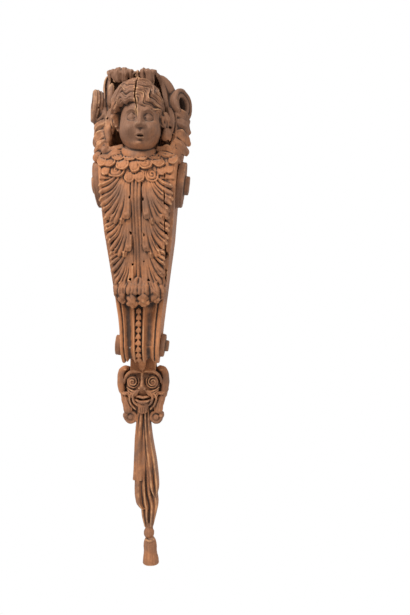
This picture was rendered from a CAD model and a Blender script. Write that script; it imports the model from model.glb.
"""A carved wooden wall bracket: a scrolled console under a child's head in a leafy hood, with acanthus on its
front, a grotesque mask below, and a hanging cloth that ends in a tassel.

Millimetres are used for every shape, and a finished mesh is put into metres. X runs across the front, -Y
towards the viewer and Z up. Places are written (across, depth, height), where depth is the distance in front
of the wall.
"""
import functools
import math

import bpy
import numpy as np
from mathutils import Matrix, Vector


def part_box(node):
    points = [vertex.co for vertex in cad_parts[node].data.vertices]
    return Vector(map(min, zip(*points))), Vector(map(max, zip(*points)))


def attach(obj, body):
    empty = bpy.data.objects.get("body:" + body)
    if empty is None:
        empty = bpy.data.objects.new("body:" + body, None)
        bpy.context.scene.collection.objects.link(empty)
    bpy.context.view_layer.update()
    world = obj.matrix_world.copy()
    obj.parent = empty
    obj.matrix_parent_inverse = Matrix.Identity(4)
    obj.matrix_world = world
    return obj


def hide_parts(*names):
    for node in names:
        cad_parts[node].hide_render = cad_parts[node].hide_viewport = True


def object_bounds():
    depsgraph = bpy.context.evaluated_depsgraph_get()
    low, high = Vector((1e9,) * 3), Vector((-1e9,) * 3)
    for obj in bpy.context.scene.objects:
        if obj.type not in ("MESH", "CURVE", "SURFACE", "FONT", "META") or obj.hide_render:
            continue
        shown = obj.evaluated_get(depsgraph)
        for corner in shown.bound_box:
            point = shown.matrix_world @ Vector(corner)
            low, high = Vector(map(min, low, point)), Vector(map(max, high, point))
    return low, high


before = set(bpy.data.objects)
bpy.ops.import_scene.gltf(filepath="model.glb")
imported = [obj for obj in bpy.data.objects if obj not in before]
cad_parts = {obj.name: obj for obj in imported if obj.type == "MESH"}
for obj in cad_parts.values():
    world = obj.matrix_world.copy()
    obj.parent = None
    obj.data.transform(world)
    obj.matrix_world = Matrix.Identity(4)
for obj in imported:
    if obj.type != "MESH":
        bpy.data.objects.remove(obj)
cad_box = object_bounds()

import openvdb as vdb
from mathutils import Vector

bl_info = {
    "name": "Carved Corbel Bracket",
    "version": (1, 0, 0),
    "blender": (4, 5, 0),
    "location": "View3D > Sidebar > Bracket",
    "description": "Makes a carved wooden corbel bracket with a child's head, acanthus, a mask and a tassel",
    "category": "Object",
}

MM = 0.001
# The frame's own sizes, in millimetres, and the gap that stands for a glue line.
CORE_HIGH = np.array(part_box("core_board")[1]) / MM
TOP = CORE_HIGH[2]
CORE_HALF = CORE_HIGH[0]
CAD_LOW, CAD_HIGH = (np.array(corner) / MM for corner in cad_box)
SEAM = 0.3
TOWARDS_VIEWER = np.array([0.0, -1.0, 0.0])

# The console's half width and the depth of its front, each down its height.
WIDTH_LINE = [(62, 77), (-100, 64.5), (-206, 50), (-262, 41.5), (-284, 39.3), (-350, 35.6)]
DEPTH_LINE = [
    (60, 100), (46, 125), (28, 137), (0, 142), (-35, 139), (-71, 130), (-115, 118), (-165, 106), (-210, 98),
    (-250, 94.5), (-285, 97), (-314, 102),
]
# The console's top, the foot of its flat back, and how far forms run on past the wall's plane.
CONSOLE_TOP = 60
BACK_FOOT = -255
INTO_WALL = -4.0
LOWER_SCROLL = {"depth": 68, "height": -314, "radius": 34}
UPPER_SCROLL = {"depth": 82, "height": 0}
HEAD = {"across": 1, "depth": 130, "height": 104, "width": 36, "front": 48.5, "tall": 56, "turn": 6}
HAIR_MIDDLE = np.array([-1, 118, 134])
HAIR_SIZE = np.array([44, 56, 51])


def along(line, height):
    """The value of a line of (height, value) pairs, straight between them, at each height."""
    heights, values = np.array(line, float)[::-1].T
    return np.interp(height, heights, values)


def half_width(height):
    """The console's half width at each height."""
    return along(WIDTH_LINE, height)


def front_depth(height):
    """The depth of the console's front at each height."""
    return along(DEPTH_LINE, height)


def place(across, depth, height):
    """Points from their places across, their depths in front of the wall and their heights."""
    return np.stack(np.broadcast_arrays(across, -np.asarray(depth, float), height), -1).astype(float)


def unit(vectors):
    """Vectors divided by their lengths."""
    return vectors / np.maximum(np.linalg.norm(vectors, axis=-1, keepdims=True), 1e-9)


def ease(values, start, end):
    """A smooth rise from 0 at start to 1 at end: 3 t squared less 2 t cubed."""
    t = np.clip((values - start) / (end - start), 0, 1)
    return t * t * (3 - 2 * t)


def bell(values, middle, spread):
    """A smooth hump of height 1: e to the minus square of the distance from the middle, in spreads."""
    return np.exp(-(((values - middle) / spread) ** 2))


def smooth_rows(rows, count):
    """Rows of numbers joined by a Catmull-Rom curve, which passes through every row, read at even steps."""
    rows = np.asarray(rows, float)
    held = np.vstack([2 * rows[0] - rows[1], rows, 2 * rows[-1] - rows[-2]])
    t = np.linspace(0, len(rows) - 1, count)
    i = np.minimum(t.astype(int), len(rows) - 2)
    f = (t - i)[:, None]
    a, b, c, d = (held[i + k] for k in range(4))
    return 0.5 * (2 * b + (c - a) * f + (2 * a - 5 * b + 4 * c - d) * f**2 + (3 * b - a - 3 * c + d) * f**3)


def grid_faces(rows, columns, wraps):
    """The triangles of a grid of points numbered row by row: two for each cell, with the last column joined
    to the first where the grid wraps round."""
    r, c = np.meshgrid(np.arange(rows - 1), np.arange(columns if wraps else columns - 1), indexing="ij")
    after = (c + 1) % columns
    a, b, d, e = r * columns + c, r * columns + after, (r + 1) * columns + after, (r + 1) * columns + c
    return np.concatenate([np.stack([a, b, d], -1).reshape(-1, 3), np.stack([a, d, e], -1).reshape(-1, 3)])


def tube(rings):
    """A closed skin through rings of points, with a fan of triangles over each end."""
    rows, columns, _ = rings.shape
    points = np.vstack([rings.reshape(-1, 3), rings[0].mean(0), rings[-1].mean(0)])
    first, last = len(points) - 2, len(points) - 1
    edge = np.arange(columns)
    after = (edge + 1) % columns
    end = (rows - 1) * columns
    start_cap = np.stack([np.full(columns, first), after, edge], -1)
    end_cap = np.stack([np.full(columns, last), end + edge, end + after], -1)
    return points, np.concatenate([grid_faces(rows, columns, True), start_cap, end_cap])


def slab(front, back):
    """A closed skin between two grids of points: each grid is a face, and their four rims are joined."""
    rows, columns, _ = front.shape
    count = rows * columns
    index = np.arange(count).reshape(rows, columns)
    rim = np.concatenate([index[0, :-1], index[:-1, -1], index[-1, :0:-1], index[:0:-1, 0]])
    after = np.roll(rim, -1)
    lower_sides = np.stack([rim, rim + count, after + count], -1)
    upper_sides = np.stack([rim, after + count, after], -1)
    points = np.vstack([front.reshape(-1, 3), back.reshape(-1, 3)])
    faces = grid_faces(rows, columns, False)
    return points, np.concatenate([faces, faces[:, ::-1] + count, lower_sides, upper_sides])


def oval(angle):
    """A plain oval section."""
    return np.cos(angle), np.sin(angle)


def strands(count, deep=0.3):
    """A section with rounded strands side by side on its outer half, with a groove between each two."""
    def section(angle):
        side, rise = np.cos(angle), np.sin(angle)
        groove = (0.5 - 0.5 * np.cos(math.pi * count * (side + 1))) ** 0.6
        return side, rise * (1 - deep * (rise > 0) * groove)
    return section


def gutter(angle):
    """A leaf's section: high along its two edges, with a hollow between them and a fine rib in the hollow."""
    side, rise = np.cos(angle), np.sin(angle)
    dished = 0.55 + 0.45 * bell(np.abs(side), 0.62, 0.3) + 0.2 * bell(side, 0, 0.1)
    return side, rise * np.where(rise > 0, dished, 1)


def carried(rows, section=oval, out=TOWARDS_VIEWER, steps=30, around=22, ends=(0.12, 0.2)):
    """A section carried along a smooth path and rounded off at both ends. Each row holds a place (across,
    depth, height) with the half width and half thickness there. The section's sideways direction is the
    path's direction crossed with out, and its other direction leans out. ends are the shares of the path over
    which the two ends are rounded, as a quarter of an ellipse."""
    r = smooth_rows(rows, steps)
    centre = place(r[:, 0], r[:, 1], r[:, 2])
    tangent = unit(np.gradient(centre, axis=0))
    outward = out(centre) if callable(out) else np.broadcast_to(np.asarray(out, float), centre.shape)
    side = unit(np.cross(tangent, outward))
    up = np.cross(side, tangent)
    s = np.linspace(0, 1, steps)
    start = np.clip(1 - (1 - np.minimum(s / ends[0], 1)) ** 2, 0.001, 1)
    end = np.clip(1 - (1 - np.minimum((1 - s) / ends[1], 1)) ** 2, 0.001, 1)
    shrink = np.sqrt(start * end)
    a, b = section(np.linspace(0, 2 * math.pi, around, endpoint=False))
    wide, thick = (np.abs(r[:, column, None]) * shrink[:, None] for column in (3, 4))
    across, upwards = side[:, None] * (wide * a)[..., None], up[:, None] * (thick * b)[..., None]
    return tube(centre[:, None] + across + upwards)


def ball(centre, radii, relief=None, down=28, around=36):
    """A ball stretched to its three half sizes (across, depth, height), with relief moving each point out by
    a share of its radius that depends on the turn and rise of the point."""
    rise = np.linspace(-math.pi / 2, math.pi / 2, down)
    turn = np.linspace(0, 2 * math.pi, around, endpoint=False)
    rise, turn = np.meshgrid(rise, turn, indexing="ij")
    grow = 1 + (relief(turn, rise) if relief else 0)
    across, depth, height = centre
    return tube(place(
        across + radii[0] * grow * np.sin(turn) * np.cos(rise),
        depth + radii[1] * grow * np.cos(turn) * np.cos(rise),
        height + radii[2] * grow * np.sin(rise),
    ))


def spun(profile, start, axis, around=48, wobble=None):
    """A turned solid: a profile of (radius, along) points spun about an axis from a starting place. wobble
    scales the radius by the angle and the place along the profile."""
    axis = unit(place(*axis))
    side = unit(np.cross(axis, (0.0, 0.3, 1.0)))
    up = np.cross(side, axis)
    radius, reach = np.array(profile, float).T
    angle = np.linspace(0, 2 * math.pi, around, endpoint=False)
    spread = radius[:, None] * (wobble(angle, reach[:, None]) if wobble else np.ones_like(angle))
    ring = spread[..., None] * (np.cos(angle)[:, None] * side + np.sin(angle)[:, None] * up)
    return tube(place(*start) + reach[:, None, None] * axis + ring)


def moved(shell, move):
    """A shell with its points moved by a function."""
    points, faces = shell
    return move(points), faces


def mirrored(rows):
    """Rows of a path, with their places across turned to the other side."""
    return [(-row[0], *row[1:]) for row in rows]


def on_side(side, rows):
    """Rows given for the right side, mirrored where the side is the left one, -1."""
    return rows if side > 0 else mirrored(rows)


def both_halves(rows):
    """A path that is alike left and right: rows from its left end to the middle, then their mirror images."""
    return rows + mirrored(rows[-2::-1])


def rumpled(shell, amount, pitch, shift=0.0):
    """A shell with its points moved about by smooth noise, because a form cut by hand is never quite even."""
    points, faces = shell
    wander = np.stack([noise(points, pitch, shift + 5.3 * axis) for axis in range(3)], -1)
    return points + amount * wander, faces


def on_front(rows):
    """Rows of (across, height, lift, half width, half thickness) on the console's front as rows of a path."""
    return [(x, front_depth(z) + lift, z, wide, thick) for x, z, lift, wide, thick in rows]


# The console

def moulding(share):
    """How far the foot's mouldings stand proud at a share of the half width: a channel for the husks, a bead,
    a hollow, a fillet, a fine groove and a roll along the edge. Each is a half wave."""
    at = np.abs(share + 0.06 * (1 - share**2))

    def stretch(start, end):
        return np.sin(math.pi * np.clip((at - start) / (end - start), 0, 1))

    channel = -6 * (1 - ease(at, 0.16, 0.2))
    return (channel + 1.4 * stretch(0.19, 0.29) - 7.5 * stretch(0.29, 0.72) ** 0.8
            - 3.6 * stretch(0.745, 0.84) + 1.8 * stretch(0.835, 1.04))


def console_path():
    """Depths, heights and outward directions down the console's front and round under the lower scroll."""
    heights = np.linspace(CONSOLE_TOP, LOWER_SCROLL["height"], 220, endpoint=False)
    depths = front_depth(heights)
    depths = np.convolve(np.pad(depths, 6, "edge"), np.ones(13) / 13, "valid")
    angle = np.linspace(0, -math.pi, 60)
    depths = np.concatenate([depths, LOWER_SCROLL["depth"] + LOWER_SCROLL["radius"] * np.cos(angle)])
    heights = np.concatenate([heights, LOWER_SCROLL["height"] + LOWER_SCROLL["radius"] * np.sin(angle)])
    run = unit(np.stack([np.gradient(depths), np.gradient(heights)], -1))
    return depths, heights, -run[:, 1], run[:, 0]


def console():
    """The block: its front is a grid whose rows follow the side profile and whose columns cross the tapered
    width, pushed along the profile's outward direction by the mouldings. Its back is flat on the wall."""
    depths, heights, out_depth, out_height = console_path()
    share = np.linspace(-1, 1, 241)
    half = half_width(np.maximum(heights, -350))
    below = np.arange(len(heights)) / len(heights)
    shown = ease(-heights, 222, 238) * (1 - ease(below, 0.93, 1.0))
    leafy = 1.8 * ease(-heights, -20, 0) * (1 - ease(-heights, 190, 215))
    lift = shown[:, None] * moulding(share)[None, :] + leafy[:, None] * (1 - ease(np.abs(share), 0.86, 0.97))
    front = place(
        half[:, None] * share,
        depths[:, None] + lift * out_depth[:, None],
        heights[:, None] + lift * out_height[:, None],
    )
    back_heights = np.linspace(CONSOLE_TOP, BACK_FOOT, len(heights))
    back = place(half_width(back_heights)[:, None] * share, INTO_WALL, back_heights[:, None])
    return [slab(front, back)]


# The height of the first husk, the share of the way round the foot where they end, and the way between two.
HUSK_TOP = -247
HUSK_END = 0.87
HUSK_PITCH = 12.5


def husks():
    """The chain of husks down the middle channel: each is two leaves in a chevron over a bud."""
    made = []
    depths, heights, _, _ = console_path()
    runs = np.concatenate([[0], np.cumsum(np.hypot(np.diff(depths), np.diff(heights)))])
    for at in np.arange(runs[np.searchsorted(-heights, -HUSK_TOP)], runs[-1] * HUSK_END, HUSK_PITCH):
        def rowed(x, down, lift, wide, thick, at=at):
            depth, height = np.interp(at + down, runs, depths), np.interp(at + down, runs, heights)
            return (AXIS - 1 + x, depth + lift, height, wide, thick)
        for side in (-1, 1):
            rows = [rowed(0, -6, -4, 1.5, 3), rowed(side * 2.6, -2, -2.4, 2.2, 3.2),
                    rowed(side * 4.2, 4.5, -4, 1.3, 2.4)]
            made.append(carried(rows, steps=14, around=12))
        rows = [rowed(0, -3, -4, 1.8, 3), rowed(0, 2, -2, 2.2, 3.2), rowed(0, 8, -4.4, 1.3, 2.4)]
        made.append(carried(rows, steps=14, around=12))
    return [rumpled(shell, 0.9, 5) for shell in made]


# The acanthus on the front

TIERS = [
    {"top": 6, "bottom": -74, "half": 71},
    {"top": -52, "bottom": -133, "half": 63},
    {"top": -112, "bottom": -196, "half": 54},
]
# Each finger of a tier, from the stalk outwards: shares of the half width where it springs and where its tip
# ends, the share of the tier's height that it falls, and its half width.
FINGERS = [
    (0.20, 0.27, 1.00, 6.6), (0.23, 0.42, 1.12, 4.6), (0.25, 0.56, 1.10, 4.4), (0.27, 0.68, 1.04, 4.3),
    (0.29, 0.79, 0.95, 4.2), (0.32, 0.86, 0.83, 4.2), (0.35, 0.90, 0.70, 4.1), (0.39, 0.93, 0.57, 4.0),
    (0.44, 0.94, 0.43, 4.0), (0.52, 0.94, 0.29, 3.9),
]
# A finger's stretches, from its root to its tip: shares of its reach, fall, width, lift and thickness.
FINGER_RUN = [
    (0, 0, 0.4, 0.2, 4.5), (0.1, 0.28, 0.6, 0.5, 5.5), (0.38, 0.62, 0.85, 0.85, 6.5),
    (0.72, 0.85, 1.05, 1.2, 7), (0.93, 0.95, 1.05, 1.45, 7), (1.04, 1.03, 0.75, 1.2, 6.5),
]
# The place across of the stalk, a little to the left of the middle.
AXIS = -1.5


def acanthus():
    """Three tiers of fingers on each side of the stalk. A finger springs beside the stalk, falls, bends
    outwards and ends in a rounded tip that stands proud over the tier below."""
    random = np.random.default_rng(11)
    made = []
    for side in (-1, 1):
        for tier in TIERS:
            for finger, (root, tip, fall, wide) in enumerate(FINGERS):
                drop = (tier["top"] - tier["bottom"]) * (fall + random.uniform(-0.03, 0.03))
                reach = side * (tip - root) * tier["half"] * random.uniform(0.96, 1.02)
                wide = wide * random.uniform(0.9, 1.1) * (tier["half"] / 63) ** 0.5
                high = 7.5 if finger == 0 else 5.0 + random.uniform(-0.8, 0.8) + 0.9 * (finger % 2)
                spring = AXIS + side * root * tier["half"]
                rows = [(spring + reach * a, tier["top"] - drop * b, high * d, wide * c, e)
                        for a, b, c, d, e in FINGER_RUN]
                section = gutter if finger == 0 else strands(2, 0.5) if finger % 2 else oval
                finger_shell = carried(on_front(rows), section, steps=50, around=30, ends=(0.06, 0.07))
                made.append(rumpled(finger_shell, 0.7, 11))
                curl = (rows[-2][0], front_depth(rows[-2][1]) + high * 1.45 + 2.2, rows[-2][1] + 1)
                made.append(ball(curl, (wide * 0.62, 5.0, wide * 0.62), down=12, around=16))
    return made


def stalk():
    """Three round ribs down the middle: a grid whose lift is a row of three waves, wider towards the foot."""
    share = np.linspace(-1, 1, 81)
    heights = np.linspace(4, -206, 150)
    half = 9.8 + 3.5 * ease(-heights, 150, 206) - 0.6 * ease(-heights, 0, 120)
    ribs = 5.6 + 1.3 * np.cos(3 * math.pi * share) - 3.0 * ease(np.abs(share), 0.9, 1.0)
    wander = 0.8 * np.sin(heights / 31)
    heights, half, wander = heights[:, None], half[:, None], wander[:, None]
    front = place(AXIS + wander + half * share, front_depth(heights) + ribs + 1.4, heights)
    back = place(AXIS + half * share, front_depth(heights) - 8, heights)
    return [slab(front, back)]


# The overturned tip of the leaf: across, half width, how far it stands out, its lowest height, and its lean
# across.
TIP_LOBES = [
    (-43, 5, 8, -222, -1), (-31, 8.5, 16, -232, 0), (-12, 10.8, 25, -240, 0), (9.5, 11, 24, -238, 0),
    (30, 9.5, 18, -231, 1), (43, 5.5, 9, -223, 1),
]


def leaf_tip():
    """The tip turns over outwards above the flutes. Veins rise to each lobe, which is a fat folded knob, with
    buds where its lower edge curls back, and all of it is crumpled."""
    ground = ball((0, front_depth(-214) + 2, -214), (45, 12, 19))
    made = [ground]
    for number, (across, wide, lift, low, lean) in enumerate(TIP_LOBES):
        for offset in (-0.6, 0, 0.6):
            x = across + offset * wide
            rows = [(x * 0.74, -182, 1, wide * 0.28, 5), (x * 0.88, -195, lift * 0.5, wide * 0.4, 6),
                    (x, -206, lift * 0.85, wide * 0.45, 7), (x + lean, -218, lift, wide * 0.4, 6)]
            made.append(rumpled(carried(on_front(rows), steps=34, around=20), 1.4, 9, number))

        def folds(turn, rise, number=number):
            crease = np.abs(np.sin(1.5 * turn + 1.1 * rise + number)) ** 0.5
            return 0.10 * crease + 0.05 * np.cos(7 * rise + 3 * turn + number) - 0.06
        centre = (across + lean, front_depth(-220) + lift * 0.4, low + 15)
        knob = ball(centre, (wide * 1.08, lift * 0.55 + 8, 15.5), folds, 60, 110)
        made.append(rumpled(knob, 2.4, 8, number))
        for bud, up in ((-0.6, 8), (0.05, 4), (0.62, 7.5)):
            centre = (across + lean + bud * wide, front_depth(low) + lift * 0.8 + 4 * abs(bud), low + up)
            made.append(rumpled(ball(centre, (wide * 0.4, 5.5, 5.2), down=16, around=22), 1.4, 6, number))
    return made


def swell(across, height):
    """How far the collar swells out towards the neck."""
    return 12 * bell(across, 0, 38) * np.clip((height + 8) / 35, 0, 1)


# How far a scale leans out towards its lower edge, and how deep its edge goes into the ground.
SCALE_TILT = 4.2
SCALE_ROOT = 8.0


def scale(across, low, wide, tall, ripples, lift):
    """A round-ended scale on the front: rings of points from its middle to its edge, where it turns back into
    the ground. It stands out as a low dome with a groove inside a raised rim, tilted so that its lower edge
    is proud. Its outline wavers, and its face is fluted from the middle outwards or ripples round it."""
    share = np.concatenate([np.linspace(0.02, 0.6, 10), np.linspace(0.64, 1.0, 13)])[:, None]
    angle = np.linspace(0, 2 * math.pi, 90, endpoint=False)
    waver = 1 + 0.05 * np.cos(2 * angle + across) + 0.03 * np.cos(5 * angle + low)
    across_share, up_share = share * waver * np.cos(angle), share * waver * np.sin(angle)
    x = across + wide * across_share * (1 - 0.14 * up_share)
    z = low + tall / 2 + tall / 2 * up_share
    rim, groove = 1.3 * bell(share, 0.88, 0.07), 1.2 * bell(share, 0.72, 0.07)
    dome = 1.2 * (1 - share**2) + rim - groove - 2.6 * ease(share, 0.93, 1.0)
    flutes = 0.9 * np.abs(np.cos(3.5 * angle + across)) * bell(share, 0.5, 0.3) if ripples == 0 else 0
    dome = dome + flutes + ripples * np.cos(2 * math.pi * 2.4 * share + angle) * (1 - share)
    depth = front_depth(z) + swell(x, z) + lift - SCALE_TILT * up_share + dome
    shell = tube(np.concatenate([place(x, depth, z), place(x[-1:], depth[-1:] - SCALE_ROOT, z[-1:])]))
    return rumpled(shell, 0.9, 12, low)


# The collar of scales under the chin: across, lower edge, half width, height, ripples.
SCALES = [
    (-38, 0, 16, 28, 1.8), (-13.5, -10, 9.5, 25, 0), (5.5, -10, 9.2, 26, 0), (28, -8, 14, 29, 2.0),
    (46, 4, 8.5, 22, 0), (-58, 4, 8, 21, 0), (60, 9, 8, 20, 1.4), (-51, 20, 11, 22, 1.4),
    (-26, 13, 12.5, 25, 0), (-4, 9, 10, 27, 0), (17, 15, 12.5, 25, 1.5), (39, 20, 12, 24, 0),
    (-36, 33, 12, 22, 1.4), (-13, 30, 12, 22, 0), (9, 31, 12, 22, 0), (31, 35, 12, 22, 1.3),
    (-67, 22, 9, 24, 1.2), (67, 26, 9, 24, 1.2), (-58, 38, 11, 23, 0), (57, 40, 11, 23, 0),
]


def collar():
    """Overlapping scales on a swelling below the chin, over a ground that fills between them."""
    share = np.linspace(-0.97, 0.97, 90)
    heights = np.linspace(56, -2, 50)[:, None]
    x = share * half_width(heights)
    depth = front_depth(heights) + swell(x, heights)
    ground = slab(place(x, depth + 3.4 + 0.5 * np.sin(0.6 * x), heights), place(x, depth - 12, heights))
    return [ball((0, 112, 26), (50, 34, 36)), ground] + [
        scale(*row, 4.6 + 0.7 * (number % 3)) for number, row in enumerate(SCALES)
    ]


# The head

def face_relief(x, z):
    """How far a child's plain face stands out at a place from the head's middle: smooth humps and hollows
    added up, for the forehead, brows, eye sockets, nose, cheeks, the round of the mouth, and the chin."""
    ax = np.abs(x)

    def hump(cx, cz, sx, sz, push, from_x=ax):
        return push * bell(from_x, cx, sx) * bell(z, cz, sz)

    bridge = 8 * bell(x, 0, 4.8) * ease(-z, -10, 14) * (1 - ease(-z, 15, 22))
    return (hump(0, 24, 24, 14, 2, x) + hump(13, 11.5, 10, 4.5, 3) + hump(14.5, 0, 9, 7.5, -9.5) + bridge
            + hump(0, -14, 5, 5, 5, x) + hump(6.2, -16.5, 3.4, 3.6, 4.4) + hump(20, -21, 11, 12, 10)
            + hump(0, -31, 11, 9, 7, x) + hump(13, -36, 6, 9, -3) + hump(0, -25, 2.2, 4, -1.4, x)
            + hump(0, -41, 9, 3, -3, x) + hump(0, -47, 11, 6, 9, x))


def face_depth(x, z):
    """The depth of the face's skin, from the head's middle, in front of a place across and up on it."""
    rise = np.arcsin(np.clip(z / HEAD["tall"], -1, 1))
    turn = np.arcsin(np.clip(x / (HEAD["width"] * np.cos(rise) ** 0.8 + 1e-9), -1, 1))
    facing = np.cos(turn) * np.cos(rise)
    return facing**0.7 * HEAD["front"] + face_relief(x, z) * np.clip(facing * 1.6, 0, 1)


# How far behind the middle of the head the upright axis stands that it is turned about.
HEAD_AXIS = 30


def turn_head(points):
    """Turns points of the head a little about its upright axis."""
    angle = math.radians(HEAD["turn"])
    x = points[:, 0] - HEAD["across"]
    y = points[:, 1] + HEAD["depth"] - HEAD_AXIS
    turned_x = HEAD["across"] + x * math.cos(angle) - y * math.sin(angle)
    turned_y = -HEAD["depth"] + HEAD_AXIS + x * math.sin(angle) + y * math.cos(angle)
    return np.stack([turned_x, turned_y, points[:, 2]], -1)


def on_face(rows):
    """Rows of (across, height, lift, half width, half thickness) from the head's middle, as a path on it."""
    return [(HEAD["across"] + x, HEAD["depth"] + face_depth(np.float64(x), np.float64(z)) + up,
             HEAD["height"] + z, wide, thick) for x, z, up, wide, thick in rows]


# The parts laid on the face, for the right side, and the lips from their left corner to the middle: across,
# height, lift, half width, half thickness.
LIDS_AND_BROW = [
    [(7.2, -1.6, 0.4, 0.8, 1.0), (10.6, 3.2, 1.6, 1.3, 1.7), (15.2, 5.4, 2.4, 1.5, 2.0),
     (19.6, 3.6, 1.8, 1.3, 1.7), (23.2, -0.6, 0.4, 0.9, 1.1)],
    [(7.4, -2.2, 0.2, 0.7, 0.9), (11, -4.4, 0.9, 1.0, 1.3), (15.4, -5.4, 1.2, 1.1, 1.5),
     (19.6, -4, 1.0, 1.0, 1.3), (23, -1.2, 0.2, 0.7, 0.9)],
    [(7, 9.4, 0, 1.6, 1.4), (14, 13.2, 0.6, 2.2, 1.9), (21, 12, 0.2, 1.9, 1.6), (26, 8.4, -0.4, 1.2, 1.2)],
]
NOSTRIL_WING = [(4.2, -13, 0, 1.6, 1.6), (7.2, -15.2, 0.6, 2.2, 2.4), (6.2, -19, 0.2, 1.7, 1.8)]
LIPS = [
    [(-10.5, -33.4, -0.8, 0.8, 1.2), (-5.6, -31.8, 0.3, 1.8, 2.2), (-2, -30.8, 0.9, 2.1, 2.5),
     (0, -31.2, 0.8, 2.0, 2.4)],
    [(-9, -34.6, -0.8, 0.8, 1.2), (-4.6, -36.4, 0.4, 2.1, 2.4), (0, -37.2, 0.9, 2.4, 2.7)],
]
# The roll of hair over the brow and the neck, as paths.
BROW_ROLL = [
    (-30, 116, 58, 8, 9), (-18, 136, 46, 9, 10), (1, 143, 42, 10, 10), (20, 136, 46, 9, 10),
    (32, 116, 58, 8, 9),
]
NECK = [(0, 95, 76, 28, 26), (0, 122, 54, 27, 26), (0, 122, 30, 30, 22)]


def face():
    """A stretched ball pushed out by the relief, with eyeballs, lids, brows and lips laid on it."""
    turn, rise = np.meshgrid(np.linspace(-math.pi, math.pi, 260, endpoint=False),
                             np.linspace(-math.pi / 2 + 0.01, math.pi / 2 - 0.01, 200), indexing="xy")
    x = np.sin(turn) * np.cos(rise) ** 0.8 * HEAD["width"]
    z = np.sin(rise) * HEAD["tall"]
    facing = np.cos(turn) * np.cos(rise)
    jowl = 1 + 0.12 * bell(z, -22, 17)
    depth = np.sign(facing) * np.abs(facing) ** 0.7 * HEAD["front"]
    depth = depth + face_relief(x, z) * np.clip(facing * 1.6, 0, 1)
    depth = depth - 8 * ease(z, 24, 42)
    made = [tube(place(HEAD["across"] + x * jowl, HEAD["depth"] + depth, HEAD["height"] + z))]
    for side in (-1, 1):
        eye = (HEAD["across"] + side * 15, HEAD["depth"] + 36.0, HEAD["height"] + 0.3)
        made.append(ball(eye, (8.4, 8.6, 7.4)))
        for rows in LIDS_AND_BROW:
            made.append(carried(on_face(on_side(side, rows)), steps=26, around=14))
        made.append(carried(on_face(on_side(side, NOSTRIL_WING)), steps=16, around=12))
    made += [carried(on_face(both_halves(rows)), steps=36, around=16) for rows in LIPS]
    made = [moved(shell, turn_head) for shell in made]
    return made + [carried(BROW_ROLL, out=(0, 0, 1), steps=40), carried(NECK, steps=16, around=30)]


def face_hollows():
    """What is cut out of the face: the parted mouth and the nostrils."""
    mouth = (HEAD["across"], HEAD["depth"] + 50, HEAD["height"] - 34)
    made = [ball(mouth, (6.4, 11, 1.9))]
    for side in (-1, 1):
        nostril = (HEAD["across"] + side * 3.5, HEAD["depth"] + 58, HEAD["height"] - 19.6)
        made.append(ball(nostril, (2.0, 5, 1.9)))
    return [moved(shell, turn_head) for shell in made]


def on_cap(way, lift):
    """A place over the cap of hair, in a direction from its middle (across, forwards, up)."""
    return HAIR_MIDDLE + (HAIR_SIZE + lift) * way


def from_cap(points):
    """The way out of the cap at each point."""
    return unit((points - place(*HAIR_MIDDLE)) / HAIR_SIZE**2)


def heading(turn, rise):
    """A direction from the cap's middle, from its turn to the viewer's right and its rise, in degrees."""
    a, b = math.radians(turn), math.radians(rise)
    return np.array([math.sin(a) * math.cos(b), math.cos(a) * math.cos(b), math.sin(b)])


# The hairline: how far the hair comes down on the cap, as the rise in degrees at each turn to the viewer's
# right.
HAIRLINE = [
    (-180, -58), (-100, -54), (-74, -50), (-63, -16), (-45, -9), (-20, -6), (-4, -1), (4, -7), (22, -15),
    (44, -17), (58, -28), (72, -44), (100, -54), (180, -58),
]
# The place at each ear that the strands run to, the number of strands round it, and how many make up a lock.
EAR = (98, -24)
STRANDS = 66
LOCK = 4
# The curls at the temples: turn, rise, radius, and which way they wind.
TEMPLE_CURLS = [(50, -16, 5.2, 1), (60, -6, 5, -1), (62, -22, 5, 1), (-60, -10, 4.8, -1)]


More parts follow.
